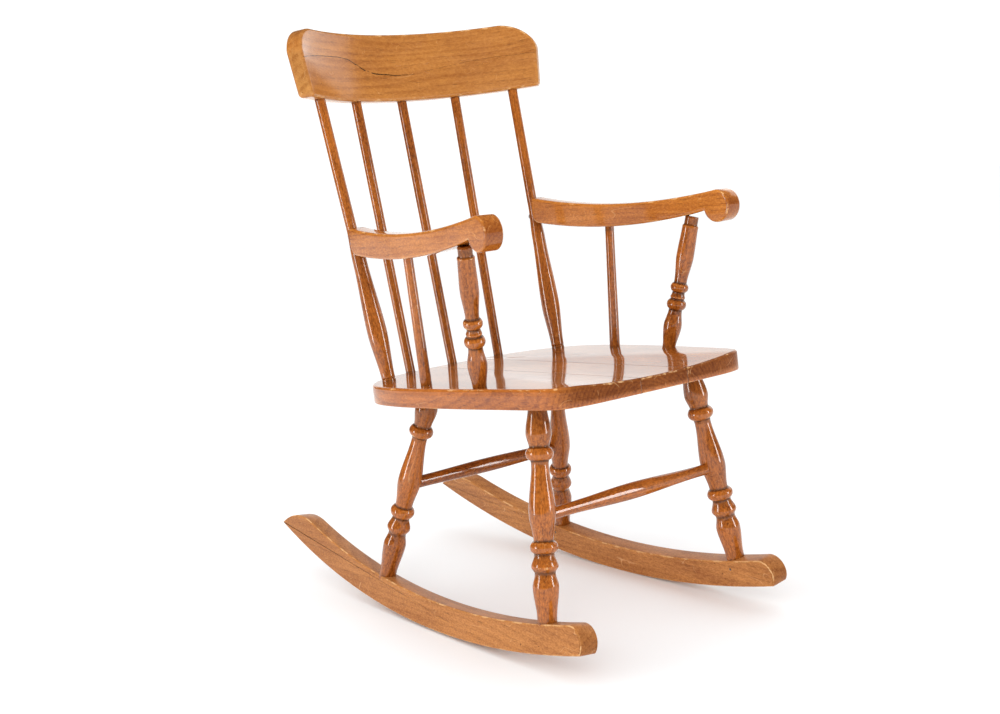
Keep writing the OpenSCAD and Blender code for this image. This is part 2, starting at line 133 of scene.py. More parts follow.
def at_rest(points):
    """Design points in millimetres to the frame's metres."""
    p = rotated(np.asarray(points, float) - vec(0, 0, ROCKER_RADIUS), "X", REST_TILT)
    return (p + vec(0, -CONTACT_TO_MIDDLE, ROCKER_RADIUS + FLOOR_DROP)) * MM


# ---- Positions of the joints ----
def seat_z(y):
    return SEAT_HEIGHT - y * tan(SEAT_SLOPE)


def lean_runner(p):
    """A runner is drawn upright with its outer face at x = 0, and leans about its outer lower edge."""
    p = np.asarray(p, float)
    x, y, z = p[..., 0], p[..., 1], p[..., 2]
    c, s = cos(RUNNER_LEAN), sin(RUNNER_LEAN)
    return np.stack([RUNNER_OUTER + x * c - z * s, y, x * s + z * c], -1)


def runner_top_z(y):
    return TOP_ARC_Z - math.sqrt(TOP_ARC_RADIUS**2 - (y - TOP_ARC_Y) ** 2)


def on_runner_top(y):
    return lean_runner(vec(-FOOT_INSET, y, runner_top_z(y)))


def on_seat(x, y):
    return vec(x, y, seat_z(y))


def under_seat(x, y):
    return vec(x, y, seat_z(y) - SEAT_THICKNESS)


def under_crest(x, y):
    return vec(x, y, CREST_HEIGHT + (CREST_Y - y) * tan(CREST_LEAN))


FRONT_LEG_TOP, FRONT_LEG_FOOT = under_seat(110, -201), on_runner_top(-220)
BACK_LEG_TOP, BACK_LEG_FOOT = under_seat(97, 34), on_runner_top(112)
# How far down their legs the stretchers meet them
FRONT_STRETCHER_DOWN, BACK_STRETCHER_DOWN = 0.512, 0.485
FRONT_STRETCHER_END = FRONT_LEG_TOP + (FRONT_LEG_FOOT - FRONT_LEG_TOP) * FRONT_STRETCHER_DOWN
BACK_STRETCHER_END = BACK_LEG_TOP + (BACK_LEG_FOOT - BACK_LEG_TOP) * BACK_STRETCHER_DOWN
POST_FOOT, POST_TOP = on_seat(130, 69), under_crest(144.5, 132.5)
SIDE_SPINDLE_FOOT, SIDE_SPINDLE_TOP = on_seat(68.5, 120.5), under_crest(75, 168)
MIDDLE_SPINDLE_FOOT, MIDDLE_SPINDLE_TOP = on_seat(0, 128), under_crest(0, 181)
ARM_POST_FOOT, ARM_POST_TOP = on_seat(137.5, -138), vec(160, -172, 445)
ARM_SPINDLE_FOOT, ARM_SPINDLE_TOP = on_seat(141, -34.5), vec(148, -37, 440)


# ---- Colours ----
def linear(hex_colour):
    """A colour as it is seen on a screen, to the numbers that a shader takes."""
    channels = [int(hex_colour[i:i + 2], 16) / 255 for i in (0, 2, 4)]
    return tuple(c / 12.92 if c <= 0.04045 else ((c + 0.055) / 1.055) ** 2.4 for c in channels) + (1.0,)


PALE_WEAR = linear("e0b480")
# A dark brown for dirt, pores and painted shade.
GRIME_AND_SHADE = linear("381806")
CRACK = linear("140803")
VARNISH = linear("fae6c8")


class Graph:
    """Makes the nodes of one material."""

    def __init__(self, name):
        self.material = bpy.data.materials.new(name)
        self.material.use_nodes = True
        self.tree = self.material.node_tree
        self.tree.nodes.clear()

    def node(self, kind, inputs=None, **settings):
        made = self.tree.nodes.new("ShaderNode" + kind)
        for key, value in settings.items():
            setattr(made, key, value)
        for key, value in (inputs or {}).items():
            if isinstance(value, bpy.types.NodeSocket):
                self.tree.links.new(value, made.inputs[key])
            else:
                made.inputs[key].default_value = value
        return made

    def math(self, operation, a, b=0.0, c=0.0, clamp=False):
        return self.node("Math", {0: a, 1: b, 2: c}, operation=operation, use_clamp=clamp).outputs[0]

    def times(self, a, b):
        return self.math("MULTIPLY", a, b)

    def less(self, a, b):
        return self.math("SUBTRACT", a, b)

    def most(self, a, b):
        return self.math("MAXIMUM", a, b)

    def plus_share(self, a, share, base, clamp=False):
        """base + a * share"""
        return self.math("MULTIPLY_ADD", a, share, base, clamp)

    def attribute(self, name, output="Fac"):
        return self.node("Attribute", attribute_name=name).outputs[output]

    def noise(self, vector, stretch, detail=2.0, roughness=0.5):
        scaled = self.node("VectorMath", {0: vector, 1: stretch}, operation="MULTIPLY").outputs[0]
        settings = {"Vector": scaled, "Scale": 1.0, "Detail": detail, "Roughness": roughness}
        return self.node("TexNoise", settings).outputs[0]

    def step(self, value, low, high):
        """0 below low, 1 above high, smooth between."""
        return self.node("MapRange", {"Value": value, "From Min": low, "From Max": high},
                         interpolation_type="SMOOTHSTEP").outputs[0]

    def mix(self, factor, a, b, blend="MIX"):
        return self.node("Mix", {0: factor, 6: a, 7: b}, data_type="RGBA", blend_type=blend).outputs[2]

    def ramp(self, value, stops):
        made = self.node("ValToRGB", {0: value})
        elements = made.color_ramp.elements
        while len(elements) < len(stops):
            elements.new(0.5)
        for element, (place, level) in zip(elements, stops):
            element.position = place
            element.color = (level, level, level, 1)
        return made.outputs[0]

    def curve(self, value, points):
        """A smooth curve through points whose places and heights both lie between 0 and 1."""
        made = self.node("FloatCurve", {"Value": value})
        line = made.mapping.curves[0]
        while len(line.points) < len(points):
            line.points.new(0.5, 0.5)
        for point, place in zip(line.points, points):
            point.location = place
        made.mapping.update()
        return made.outputs[0]

    def shader(self, inputs, height=None, bump=0.3, depth=0.0004):
        if height is not None:
            relief = self.node("Bump", {"Height": height, "Strength": bump, "Distance": depth})
            inputs["Normal"] = relief.outputs[0]
        made = self.node("BsdfPrincipled", inputs)
        output = self.node("OutputMaterial")
        self.tree.links.new(made.outputs[0], output.inputs[0])
        return self.material


def scratch_lines(g, grain, stretch, width, patches):
    """Long thin wavy lines, broken into patches."""
    off = g.math("ABSOLUTE", g.less(g.noise(grain, stretch, detail=0.0), 0.5))
    line = g.less(1.0, g.step(off, width * 0.4, width))
    return g.times(line, g.step(g.noise(grain, patches, detail=1.0), 0.57, 0.64))


# The crack's path over the crest rail's face, in millimetres along from its middle and up from its edge.
# Its half width follows from one end (0) to the other (1), as a share of CRACK_REACH.
CRACK_PATH = [(-195, 46), (-150, 53), (-90, 54), (-70, 47), (-50, 38), (-25, 34.5), (13, 33.5), (60, 40),
              (116, 45), (165, 45)]
CRACK_WIDTH = [(0, 0.004), (0.1, 0.006), (0.28, 0.007), (0.37, 0.011), (0.48, 0.007), (0.56, 0.003),
               (0.8, 0.002), (1, 0.002)]
CRACK_LEAST = 0.0015
CRACK_SPAN, CRACK_REACH = 0.2, 0.1


def crest_marks(g, grain):
    """The long crack in the crest rail's face, as a mask. Its height follows a curve along the rail."""
    parts = g.node("SeparateXYZ", {0: grain}).outputs
    along = g.plus_share(parts[2], 0.5 / CRACK_SPAN, 0.5)
    path = [(0.5 + s * MM * 0.5 / CRACK_SPAN, h * MM / CRACK_REACH) for s, h in CRACK_PATH]
    waves = g.times(g.less(g.noise(grain, (60, 60, 160), detail=3.0), 0.5), 0.02)
    height = g.math("ADD", g.curve(along, path), waves)
    off = g.math("ABSOLUTE", g.less(g.times(parts[0], 1 / CRACK_REACH), height))
    width = g.most(g.curve(along, CRACK_WIDTH), CRACK_LEAST)
    inside = g.less(1.0, g.step(off, g.times(width, 0.35), width))
    front = g.step(parts[1], -0.0085, -0.0092)
    broken = g.step(g.noise(grain, (300, 300, 90), detail=2.0), 0.38, 0.5)
    return g.times(g.times(inside, front), broken)


def figure(g, at, rings, bands, streaks, flecks):
    """The wood's own pattern: how dark it is, and its fibres, cloudy patches and pores."""
    parts = g.node("SeparateXYZ", {0: at}).outputs
    bend = g.times(g.less(g.noise(at, (14, 14, 4), detail=1.0), 0.5), 0.03)
    across = g.math("ADD", parts[0], bend)
    distance = g.math("SQRT", g.math("ADD", g.times(across, across), g.times(parts[1], parts[1])))
    ring = g.ramp(g.math("FRACT", g.math("DIVIDE", distance, rings * MM)),
                  [(0.0, 0.75), (0.12, 0.1), (0.55, 0.3), (0.9, 1.0), (1.0, 0.75)])
    streak = g.step(g.noise(at, (bands, bands, 5), detail=3.0, roughness=0.6), 0.3, 0.72)
    fibre = g.noise(at, (1500, 1500, 40), detail=2.0)
    blotch = g.step(g.noise(at, (22, 22, 9), detail=3.0), 0.3, 0.7)
    mottle = g.step(g.noise(at, (560, 560, 260), detail=3.0, roughness=0.7), 0.3, 0.7)
    pores = g.times(g.step(g.noise(at, (1300, 1300, 60), detail=1.0), 0.6, 0.72), g.step(ring, 0.15, 0.6))
    shade = g.times(ring, 0.22 * streaks)
    shade = g.plus_share(streak, 0.28 * streaks, shade)
    shade = g.plus_share(mottle, flecks, shade)
    shade = g.plus_share(blotch, 0.26, shade)
    shade = g.plus_share(fibre, 0.16, shade, clamp=True)
    return shade, fibre, blotch, pores


def damage(g, at, worn, scratches):
    """Where the varnish has worn through, where the wood is pale for any cause, and where nicks, glue,
    grooves and painted shade darken it.
    """
    rub = g.noise(at, (90, 90, 50), detail=5.0, roughness=0.7)
    wear = g.step(g.plus_share(g.attribute("wear"), 0.25 * worn, rub), 0.74, 0.84)
    scuffs = g.times(scratch_lines(g, at, (60, 60, 10), 0.006, (40, 40, 14)), 0.5 * scratches)
    fine = g.times(scratch_lines(g, at, (90, 90, 70), 0.01, (60, 60, 45)), 0.45 * scratches)
    pale = g.most(wear, g.most(scuffs, fine))
    patches = g.step(g.noise(at, (160, 160, 120), detail=2.0), 0.15, 0.5)
    nicks = g.times(g.step(g.noise(at, (420, 420, 260), detail=2.0), 0.7, 0.76), 0.7 * scratches)
    # This mask carries glue, grooves, nicks and the painted shade that the turned pieces put on.
    dirt_and_shade = g.most(g.times(g.attribute("grime"), patches), nicks)
    return wear, pale, dirt_and_shade


def wood(name, light, dark, rings=3.2, gloss=0.06, scratches=1.0, worn=1.0, wavy=0.0, streaks=1.0,
         flecks=0.36, varnish=1.0, end_dark=0.45, end_gloss=0.2, bands=240, marks=None):
    """Varnished hardwood. The grain attribute is a point's place in its board, with the fibres along its
    third number. rings is their distance in millimetres, and bands is finer for a larger number."""
    g = Graph(name)
    grain = g.attribute("grain", "Vector")
    at = g.node("VectorMath", {0: grain, 1: g.attribute("offset", "Vector")}, operation="ADD").outputs[0]
    end = g.attribute("end")
    shade, fibre, blotch, pores = figure(g, at, rings, bands, streaks, flecks)
    wear, pale, dirt_and_shade = damage(g, at, worn, scratches)
    colour = g.mix(shade, linear(light), linear(dark))
    colour = g.mix(g.times(pores, 0.55), colour, GRIME_AND_SHADE)
    colour = g.mix(g.times(g.attribute("wear"), 0.35), colour, linear(light))
    colour = g.mix(g.times(end, end_dark), colour, linear(dark), "MULTIPLY")
    colour = g.mix(g.times(pale, 0.7), colour, PALE_WEAR)
    # This darkens for dirt and for painted shade alike.
    colour = g.mix(g.times(dirt_and_shade, 0.75), colour, GRIME_AND_SHADE)
    height = g.times(fibre, 0.12)
    for part, share in ((pores, -0.2), (pale, -0.35), (dirt_and_shade, -0.4)):
        height = g.plus_share(part, share, height)
    if wavy:
        height = g.plus_share(g.noise(at, (45, 45, 20), detail=1.0), wavy, height)
    if marks:
        mark = marks(g, grain)
        dirt_and_shade = g.most(dirt_and_shade, mark)
        colour = g.mix(mark, colour, CRACK)
        height = g.plus_share(mark, -2.0, height)
    rough = g.plus_share(blotch, 0.12, 0.34)
    rough = g.plus_share(pale, 0.25, rough, clamp=True)
    dull = g.times(g.most(wear, g.times(dirt_and_shade, 0.6)), 0.75)
    dull = g.most(dull, g.times(end, 1 - end_gloss))
    coat = g.times(g.less(1.0, dull), varnish)
    coat_rough = g.plus_share(g.step(g.noise(at, (70, 70, 30), detail=3.0), 0.35, 0.75), 0.08, gloss)
    return g.shader({"Base Color": colour, "Roughness": rough, "Coat Weight": coat,
                     "Coat Roughness": coat_rough, "Coat IOR": 1.5, "Coat Tint": VARNISH,
                     "Specular IOR Level": 0.1}, height)


def steel():
    g = Graph("pin_steel")
    place = g.node("TexCoord").outputs["Object"]
    spots = g.noise(place, (900, 900, 900), detail=4.0)
    colour = g.mix(g.step(spots, 0.42, 0.62), linear("8a8680"), linear("4a3526"))
    rough = g.plus_share(spots, 0.4, 0.25)
    return g.shader({"Base Color": colour, "Metallic": 1.0, "Roughness": rough}, spots, 0.25, 0.0002)


def floor_material():
    g = Graph("studio_floor")
    place = g.node("TexCoord").outputs["Object"]
    cloud = g.noise(place, (1.5, 1.5, 1.5), detail=3.0)
    colour = g.mix(cloud, (0.915, 0.935, 0.945, 1), (0.93, 0.95, 0.96, 1))
    return g.shader({"Base Color": colour, "Roughness": 0.9, "Specular IOR Level": 0.1}, cloud, 0.02, 0.001)


WOODS = {
    "crest_wood": wood("crest_wood", "d29a56", "9a6028", rings=9.0, gloss=0.2, scratches=1.4, streaks=0.9,
                       end_dark=0.15, bands=110, marks=crest_marks),
    "turned_wood": wood("turned_wood", "cf8238", "521f04", rings=4.6, gloss=0.04, scratches=0.9, streaks=0.5,
                        flecks=0.48),
    "arm_wood": wood("arm_wood", "dc9a4e", "8e4c16", rings=3.8, gloss=0.07, scratches=1.2, streaks=0.7,
                     flecks=0.44, end_dark=0.6, end_gloss=0.9),
    "seat_wood": wood("seat_wood", "cf8640", "7a3d14", rings=4.0, gloss=0.045, scratches=1.6, wavy=0.9,
                      end_dark=0.65, end_gloss=0.05),
    "runner_wood": wood("runner_wood", "cf8f50", "884e24", rings=7.0, gloss=0.3, scratches=1.6, worn=1.2,
                        streaks=0.65, flecks=0.46, varnish=0.22, bands=150),
}
STEEL = WOODS["fixing_steel"] = steel()
DOWEL = wood("dowel_wood", "c98a4c", "9a5f2a")


# ---- Making a piece ----
def make(name, points, faces, grain, wear, grime, slot, nodes, side=1, seed=0, end=None, pith=(45, 60)):
    """One closed mesh in the frame, with each point's grain, wear, darkening (glue, grooves and painted
    shade) and end grain for its material.
    """
    points = np.array(points, float)
    if side < 0:
        points[:, 0] *= -1
    count = len(points)
    mesh = bpy.data.meshes.new(name)
    mesh.from_pydata(at_rest(points).tolist(), [], faces)
    random = np.random.default_rng(seed)
    shift = vec(pith[0] + random.uniform(-12, 12), pith[1] + random.uniform(-15, 15),
                random.uniform(-4000, 4000))
    offset = np.tile(shift * MM, (count, 1))
    for key, values in (("grain", np.asarray(grain, float) * MM), ("offset", offset)):
        numbers = values.astype(np.float32).ravel()
        mesh.attributes.new(key, "FLOAT_VECTOR", "POINT").data.foreach_set("vector", numbers)
    for key, values in (("wear", wear), ("grime", grime), ("end", np.zeros(count) if end is None else end)):
        numbers = np.asarray(values, np.float32)
        mesh.attributes.new(key, "FLOAT", "POINT").data.foreach_set("value", numbers)
    solid = bmesh.new()
    solid.from_mesh(mesh)
    bmesh.ops.recalc_face_normals(solid, faces=solid.faces)
    for face in solid.faces:
        face.smooth = True
    solid.to_mesh(mesh)
    solid.free()
    mesh.materials.append(WOODS[slot])
    piece = bpy.data.objects.new(name, mesh)
    bpy.context.scene.collection.objects.link(piece)
    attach(piece, "root")
    if nodes:
        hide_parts(*nodes)
    return piece


def ring_faces(rings, count, first=0):
    """Quads between neighbouring rings of a tube."""
    faces = []
    for k in range(rings - 1):
        a, b = first + k * count, first + (k + 1) * count
        for i in range(count):
            j = (i + 1) % count
            faces.append((a + i, a + j, b + j, b + i))
    return faces


# ---- Turned pieces ----
SIDES = 48
# The distance between a turning's rings, and the least number of rings in a bead and in another length
RING_STEP, BEAD_RINGS, LEAST_RINGS = 1.6, 14, 3


def dense_outline(stations):
    """The distance and radius of each ring of a turning, from its stations as the design gives them."""
    z, r = [stations[0][0]], [stations[0][1] / 2]
    for a, b in zip(stations, stations[1:]):
        bead = len(b) > 2
        n = max(BEAD_RINGS if bead else LEAST_RINGS, math.ceil((b[0] - a[0]) / RING_STEP))
        for k in range(1, n + 1):
            t = k / n
            if bead:
                t = (1 - math.cos(math.pi * t)) / 2
                base = a[1] + (b[1] - a[1]) * t
                d = base + (b[2] - base) * max(math.sin(math.pi * t), 0) ** 0.6
            else:
                d = a[1] + (b[1] - a[1]) * t * t * (3 - 2 * t)
            z.append(a[0] + (b[0] - a[0]) * t)
            r.append(d / 2)
    return np.array(z), np.array(r)


def hollows_and_ridges(z, r):
    """How deep each ring lies in a groove, and how far it stands on a ridge, from 0 to 1."""
    reach, full_hollow, full_ridge = 2.0, 1.1, 1.6
    bend = np.interp(z - reach, z, r) + np.interp(z + reach, z, r) - 2 * r
    return np.clip(bend / full_hollow, 0, 1), np.clip(-bend / full_ridge, 0, 1)


def turned(name, stations, foot, top, side, seed, nodes, joints=(), dark=(), slot="turned_wood"):
    z, r = dense_outline(stations)
    length = np.linalg.norm(top - foot)
    keep = (z >= -HIDDEN_END) & (z <= length + HIDDEN_END)
    z, r = z[keep], r[keep]
    groove_dirt_and_shade, ridge = hollows_and_ridges(z, r)
    for place in joints:
        groove_dirt_and_shade = np.maximum(groove_dirt_and_shade, 0.8 * np.exp(-(((z - place) / 1.3) ** 2)))
    # Painted shade: these bands darken a leg's top under the seat and an arm post's neck under its arm, and
    # darken a leg towards its foot.
    for place, reach, depth in dark:
        groove_dirt_and_shade = np.maximum(groove_dirt_and_shade, depth * np.exp(-(((z - place) / reach) ** 2)))
    angle = np.arange(SIDES) * 2 * math.pi / SIDES
    local = np.stack([np.outer(r, np.cos(angle)), np.outer(r, np.sin(angle)),
                      np.repeat(z[:, None], SIDES, 1)], -1).reshape(-1, 3)
    v = (top - foot) / length
    leaning = rotated(local, "Y", math.degrees(math.acos(v[2])))
    turning = rotated(leaning, "Z", math.degrees(math.atan2(v[1], v[0])))
    points = np.vstack([turning + foot, foot + v * z[0], foot + v * z[-1]])
    count = len(z) * SIDES
    faces = ring_faces(len(z), SIDES)
    last = count - SIDES
    for i in range(SIDES):
        j = (i + 1) % SIDES
        faces += [(count, j, i), (count + 1, last + i, last + j)]
    grain = np.vstack([local, [0, 0, z[0]], [0, 0, z[-1]]])
    pad = [0.0, 0.0]
    return make(name, points, faces, grain, np.concatenate([np.repeat(ridge, SIDES), pad]),
                np.concatenate([np.repeat(groove_dirt_and_shade, SIDES), pad]), slot, nodes, side, seed)


def leg_stations(length, vase, ring, stretch):
    return [(-13, 20), (0, 20), (vase, 27.6), (ring - 7.5, 21.5), (ring + 6, 20, 30), (ring + 9.5, 18.8),
            (ring + 60.5 * stretch, 28.8), (ring + 89.5 * stretch, 21.4), (ring + 90.5 * stretch, 21.4),
            (ring + 103 * stretch, 21.4, 30), (ring + 104.5 * stretch, 21.4), (ring + 117 * stretch, 29),
            (ring + 124 * stretch, 22), (ring + 138 * stretch, 27.9), (length - 4, 21), (length + 5, 21)]


def legs():
    for side, word in ((1, "left"), (-1, "right")):
        for which, top, foot, numbers in (("front", FRONT_LEG_TOP, FRONT_LEG_FOOT, (29.8, 51.8, 1)),
                                          ("back", BACK_LEG_TOP, BACK_LEG_FOOT, (18, 47.3, 1.11))):
            length = np.linalg.norm(foot - top)
            node = f"{which}_leg_{word}"
            # The legs are painted darker at their tops, as shade under the seat, and at their feet.
            turned(node + "_turned", leg_stations(length, *numbers), top, foot, side, len(node) + side * 7,
                   [node], joints=(0.5, length - 0.8), dark=((0, 30, 0.5), (length, 7, 0.35)))


def stretchers():
    for which, end, diameters, seed in (("front", FRONT_STRETCHER_END, (12.6, 18.5), 31),
                                        ("back", BACK_STRETCHER_END, (15, 18), 32)):
        half = end[0] - 2.5
        small, large = diameters
        stations = [(0, small), (22, small), (half, large), (2 * half - 22, small), (2 * half, small)]
        node = which + "_stretcher"
        right, left = vec(-half, end[1], end[2]), vec(half, end[1], end[2])
        turned(node + "_turned", stations, right, left, 1, seed, [node], joints=(9, 2 * half - 9))


def back():
    length = np.linalg.norm(POST_TOP - POST_FOOT)
    stations = [(-14, 16.6), (3, 16.6), (4, 15.8), (5, 16.8), (61.5, 24.2), (150, 17.4), (190, 13.3),
                (length, 12.8), (length + 16, 12.8)]
    for side, word in ((1, "left"), (-1, "right")):
        node = "back_post_" + word
        turned(node + "_turned", stations, POST_FOOT, POST_TOP, side, 40 + side, [node],
               joints=(0.8, length - 0.6))
        node = "back_spindle_" + word
        spindle(node, SIDE_SPINDLE_FOOT, SIDE_SPINDLE_TOP, side, 43 + side)
    spindle("back_spindle_middle", MIDDLE_SPINDLE_FOOT, MIDDLE_SPINDLE_TOP, 1, 46)


def spindle(node, foot, top, side, seed):
    length = np.linalg.norm(top - foot)
    d = SPINDLE_DIAMETER
    stations = [(-14, d - 0.1), (4, d - 0.1), (length / 2, d), (length - 4, d - 0.2), (length + 16, d - 0.2)]
    turned(node + "_turned", stations, foot, top, side, seed, [node], joints=(0.6, length - 0.5))


def arm_supports():
    length = np.linalg.norm(ARM_POST_TOP - ARM_POST_FOOT)
    stations = [(-14, 15.5), (0, 15.5), (26.7, 21.8), (46.4, 15.9), (47.5, 16.5), (59, 16.5, 23.3),
                (60.5, 16.4), (63.5, 16.4, 17.6), (67, 14.7), (68.5, 15), (79, 15, 21.5), (80.5, 15.2),
                (112, 20.8), (length - 8, 18.9), (length - 6, 15.8), (length + 13, 15.8)]
    short = np.linalg.norm(ARM_SPINDLE_TOP - ARM_SPINDLE_FOOT)
    thin = [(-14, 13), (0, 13), (short, 11.2), (short + 13, 11.2)]
    for side, word in ((1, "left"), (-1, "right")):
        # A band of painted shade darkens each arm post just under its arm.
        turned(f"arm_post_{word}_turned", stations, ARM_POST_FOOT, ARM_POST_TOP, side, 50 + side,
               ["arm_post_" + word], joints=(0.6,), dark=((length - 2, 5, 0.6),))
        turned(f"arm_spindle_{word}_turned", thin, ARM_SPINDLE_FOOT, ARM_SPINDLE_TOP, side, 53 + side,
               ["arm_spindle_" + word], joints=(0.5, short - 0.5))


# ---- Sawn plates: the runners and the arms ----
RUNNER_ROUNDING, ARM_ROUNDING = 1.8, 2.4


def arc(centre, radius, start, stop, step):
    """Points along an arc from one angle to another, in degrees, about step millimetres apart."""
    n = max(2, math.ceil(abs(math.radians(stop - start)) * radius / step))
    a = np.radians(np.linspace(start, stop, n + 1))
    return [(centre[0] + radius * math.cos(t), centre[1] + radius * math.sin(t)) for t in a]


def angle_to(centre, p):
    return math.degrees(math.atan2(p[1] - centre[1], p[0] - centre[0]))


def clean(outline, least=0.4):
    """The outline without points that lie closer together than least."""
    kept = [outline[0]]
    for p in outline[1:]:
        if math.dist(p, kept[-1]) > least:
            kept.append(p)
    if math.dist(kept[0], kept[-1]) <= least:
        kept.pop()
    return np.array(kept)


def inset(outline, distances):
    """Each side of a closed outline moved inwards by its distance. Side i runs from point i to the next."""
    n = len(outline)
    along = np.roll(outline, -1, 0) - outline
    along /= np.linalg.norm(along, axis=1)[:, None]
    x, y = outline[:, 0], outline[:, 1]
    turns = 1 if np.sum(x * np.roll(y, -1) - y * np.roll(x, -1)) > 0 else -1
    inward = np.stack([-along[:, 1], along[:, 0]], 1) * turns
    distances = np.broadcast_to(distances, (n,))
    moved = []
    for i in range(n):
        a, b = i - 1, i
        cross = along[a][0] * along[b][1] - along[a][1] * along[b][0]
        if abs(cross) < 0.2:
            n_mid = inward[a] + inward[b]
            n_mid /= np.linalg.norm(n_mid)
            moved.append(outline[i] + n_mid * (distances[a] + distances[b]) / 2)
        else:
            da, db = distances[a], distances[b]
            base = outline[i] + inward[a] * da
            t = np.dot(inward[b] * db - inward[a] * da, inward[b]) / np.dot(along[a], inward[b])
            moved.append(base + along[a] * t)
    return np.array(moved)


def plate(outline, thickness, radius, steps=4, margin=0.8):
    """A flat board with rounded edges, as points (u, v, t), faces and each point's wear."""
    half = thickness / 2
    levels = [(radius + margin, half, 0.0), (radius, half, 0.35)]
    for k in range(1, steps + 1):
        a = math.pi / 2 * k / steps
        worn = math.sin(2 * a) * 0.6 + 0.4 * (k < steps)
        levels.append((radius * (1 - math.sin(a)), half - radius * (1 - math.cos(a)), worn))
    levels += [(d, -t, w) for d, t, w in reversed(levels)]
    n = len(outline)
    rings = [np.column_stack([inset(outline, d) if d else outline, np.full(n, t)]) for d, t, w in levels]
    faces = ring_faces(len(rings), n)
    faces += [tuple(range(n))[::-1], tuple(range((len(rings) - 1) * n, len(rings) * n))]
    wear = np.repeat([w for d, t, w in levels], n)
    return np.vstack(rings), faces, wear


def end_grain(points, fibre_axis, ring_size, sides_are_flat=True):
    """How squarely each point of a plate faces along the fibres, from its ring's own turn."""
    rings = points.reshape(-1, ring_size, 3)
    along = np.roll(rings, -1, 1) - np.roll(rings, 1, 1)
    flat = along[..., :2] / np.maximum(np.linalg.norm(along[..., :2], axis=-1, keepdims=True), 1e-6)
    end = np.abs(flat[..., 1 - fibre_axis]) ** 3
    if sides_are_flat:
        end[[0, -1]] = 0
    return end.ravel()


def runner_outline():
    top = (TOP_ARC_Y, TOP_ARC_Z)
    low = (0.0, ROCKER_RADIUS)
    front_touch = angle_to(top, FRONT_CENTRE)
    back_touch = angle_to(top, BACK_CENTRE)
    points = arc(low, ROCKER_RADIUS, angle_to(low, FRONT_TIP), angle_to(low, BACK_TIP), 7)
    points += arc(BACK_CENTRE, BACK_NOSE, angle_to(BACK_CENTRE, BACK_TIP), back_touch + 180, 4)[1:]
    points += arc(top, TOP_ARC_RADIUS, back_touch, front_touch, 7)[1:]
    tip = angle_to(FRONT_CENTRE, FRONT_TIP) + 360
    points += arc(FRONT_CENTRE, FRONT_NOSE, front_touch + 180, tip, 2.5)[1:]
    return clean(points, 1.5)


def runners():
    outline = runner_outline()
    points, faces, wear = plate(outline, RUNNER_WIDTH, RUNNER_ROUNDING)
    end = end_grain(points, 0, len(outline))
    local = np.column_stack([points[:, 2] - RUNNER_WIDTH / 2, points[:, 0], points[:, 1]])
    grain = points[:, [1, 2, 0]]
    for side, word in ((1, "left"), (-1, "right")):
        node = "runner_" + word
        make(node + "_sawn", lean_runner(local), faces, grain, wear, np.zeros(len(points)), "runner_wood",
             [node], side, 60 + side, end, pith=(70, 45))


ARM_LOW, ARM_LOW_RADIUS, ARM_HIGH, ARM_HIGH_RADIUS, ARM_HIGH_U = 440.5, 930.0, 468.0, 1030.0, 35.0
ARM_BACK, KNOB_U, KNOB_Z, KNOB_RADIUS, ARM_CORNER = -131.5, 181.5, 460.0, 18.5, 14.0


def arm_outline():
    low, high = (0, ARM_LOW + ARM_LOW_RADIUS), (ARM_HIGH_U, ARM_HIGH + ARM_HIGH_RADIUS)
    knob = (KNOB_U, KNOB_Z)
    notch = circles_meet(vec(*low), ARM_LOW_RADIUS, vec(*knob), KNOB_RADIUS, -1)
    crown = circles_meet(vec(*high), ARM_HIGH_RADIUS, vec(*knob), KNOB_RADIUS, -1)
    corner_u = ARM_BACK + ARM_CORNER
    corner_z = ARM_LOW + ARM_CORNER + corner_u**2 / (2 * ARM_LOW_RADIUS)
    start = (corner_u, low[1] - math.sqrt(ARM_LOW_RADIUS**2 - corner_u**2))
    back_top = (ARM_BACK, high[1] - math.sqrt(ARM_HIGH_RADIUS**2 - (ARM_BACK - ARM_HIGH_U) ** 2))
    points = arc(low, ARM_LOW_RADIUS, angle_to(low, start), angle_to(low, notch), 6)
    first, last = angle_to(knob, notch), angle_to(knob, crown)
    points += arc(knob, KNOB_RADIUS, first if first < 0 else first - 360, last, 2.2)[1:]
    points += arc(high, ARM_HIGH_RADIUS, angle_to(high, crown), angle_to(high, back_top), 6)[1:]
    points += arc((corner_u, corner_z), ARM_CORNER, 180, 268, 3)
    return clean(points, 1.2)


def arms():
    outline = arm_outline()
    points, faces, wear = plate(outline, ARM_THICKNESS, ARM_ROUNDING)
    run = ARM_POST_TOP - ARM_SPINDLE_TOP
    yaw = math.degrees(math.atan2(run[1], run[0]))
    post_u = math.hypot(run[0], run[1])
    end = end_grain(points, 0, len(outline))
    local = np.column_stack([points[:, 0], points[:, 2], points[:, 1]])
    grain = np.column_stack([points[:, 1] - ARM_LOW, points[:, 2], points[:, 0]])
    pivot = vec(post_u, 0, ARM_POST_TOP[2])
    foot = vec(ARM_SPINDLE_TOP[0], ARM_SPINDLE_TOP[1], 0)
    for side, word in ((1, "left"), (-1, "right")):
        tilted = rotated(local - pivot, "Y", ARM_TILT[side]) + pivot
        node = "arm_" + word
        make(node + "_sawn", rotated(tilted, "Z", yaw) + foot, faces, grain, wear, np.zeros(len(points)),
             "arm_wood", [node], side, 70 + side, end, pith=(30, 55))


# ---- Seat ----
SEAT_FRONT, OUTLINE_STEP = 276, 4
SEAT_HALF = [(0, -SEAT_FRONT), (60, -275.5), (101, -273), (125, -263), (136, -240), (145.5, -185),
             (155.5, -120), (163.5, -50), (166, 0), (162, 46), (149, 78), (127, 103), (97, 120), (58, 131),
             (0, 135)]
DISH_RADIUS = (DISH_HALF_WIDTH**2 + DISH_DEPTH**2) / (2 * DISH_DEPTH)


